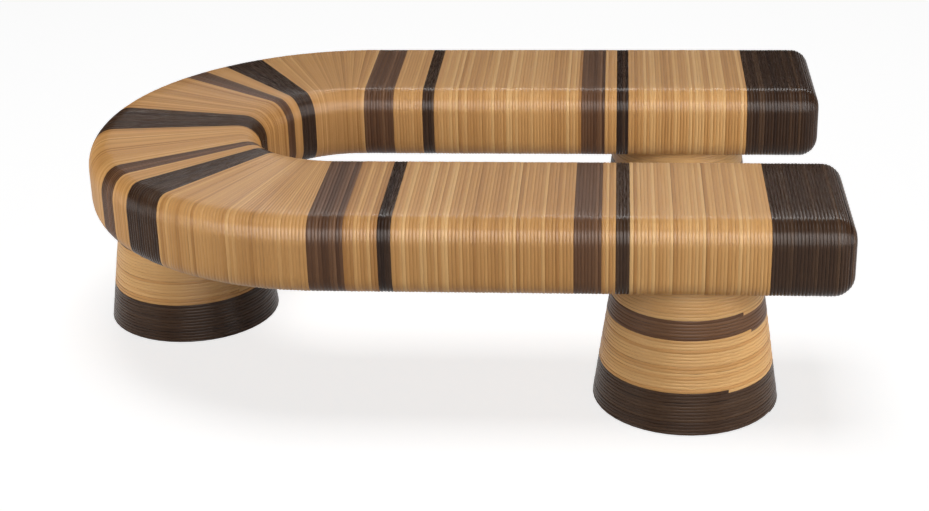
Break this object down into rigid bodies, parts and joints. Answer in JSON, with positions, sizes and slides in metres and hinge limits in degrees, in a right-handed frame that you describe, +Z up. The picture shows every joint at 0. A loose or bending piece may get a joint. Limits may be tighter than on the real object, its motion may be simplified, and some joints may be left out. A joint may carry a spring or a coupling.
{
  "type": "rattan bench",
  "caption": "Low horseshoe bench with a rounded box-section seat, wound all over in honey rattan cane with dark stripes, on flared drum legs.",
  "frame": {"origin": "on the floor, under the middle of the overall box", "axes": "+X along the arms towards their open ends, +Y from the front arm to the rear arm, +Z up"},
  "size_m": [1.5325, 1.0854, 0.43],
  "materials": {
    "honey_cane": "varnished round cane, honey toned",
    "espresso_cane": "varnished round cane, stained espresso",
    "walnut_cane": "varnished round cane, stained walnut",
    "plywood": "bare plywood",
    "rail_timber": "bare laminated timber",
    "zinc_steel": "zinc plated",
    "glide_plastic": "moulded plastic"
  },
  "bodies": {
    "root": {"apex_band": "espresso_cane", "apex_leg_collar": "walnut_cane", "apex_leg_drum": "plywood", "apex_leg_foot_band": "espresso_cane", "apex_leg_infill": "honey_cane", "base_board": "plywood", "deck_board": "plywood", "end_boards": "plywood", "floor_glides": "glide_plastic", "front_apex_infill": "honey_cane", "front_bend_band": "espresso_cane", "front_end_band": "espresso_cane", "front_end_cover": "espresso_cane", "front_fan": "honey_cane", "front_inner_pinstripe": "espresso_cane", "front_leg_collar": "walnut_cane", "front_leg_drum": "plywood", "front_leg_foot_band": "espresso_cane", "front_leg_infill": "honey_cane", "front_long_infill": "honey_cane", "front_middle_band": "walnut_cane", "front_middle_infill": "honey_cane", "front_outer_infill": "honey_cane", "front_outer_pinstripe": "espresso_cane", "front_shoulder_band": "walnut_cane", "front_shoulder_infill": "honey_cane", "front_slim_band": "walnut_cane", "front_slim_infill": "honey_cane", "inner_base_rail": "rail_timber", "inner_panel": "plywood", "inner_top_rail": "rail_timber", "leg_bolts": "zinc_steel", "leg_foot_boards": "plywood", "leg_head_boards": "plywood", "leg_tee_nuts": "zinc_steel", "leg_washers": "zinc_steel", "outer_base_rail": "rail_timber", "outer_panel": "plywood", "outer_top_rail": "rail_timber", "rear_apex_infill": "honey_cane", "rear_bend_band": "espresso_cane", "rear_end_band": "espresso_cane", "rear_end_cover": "espresso_cane", "rear_fan": "honey_cane", "rear_inner_pinstripe": "espresso_cane", "rear_leg_collar": "walnut_cane", "rear_leg_drum": "plywood", "rear_leg_foot_band": "espresso_cane", "rear_leg_infill": "honey_cane", "rear_long_infill": "honey_cane", "rear_middle_band": "walnut_cane", "rear_middle_infill": "honey_cane", "rear_outer_infill": "honey_cane", "rear_outer_pinstripe": "espresso_cane", "rear_shoulder_band": "walnut_cane", "rear_shoulder_infill": "honey_cane", "rear_slim_band": "walnut_cane", "rear_slim_infill": "honey_cane", "ribs": "plywood"}
  },
  "joints": []
}
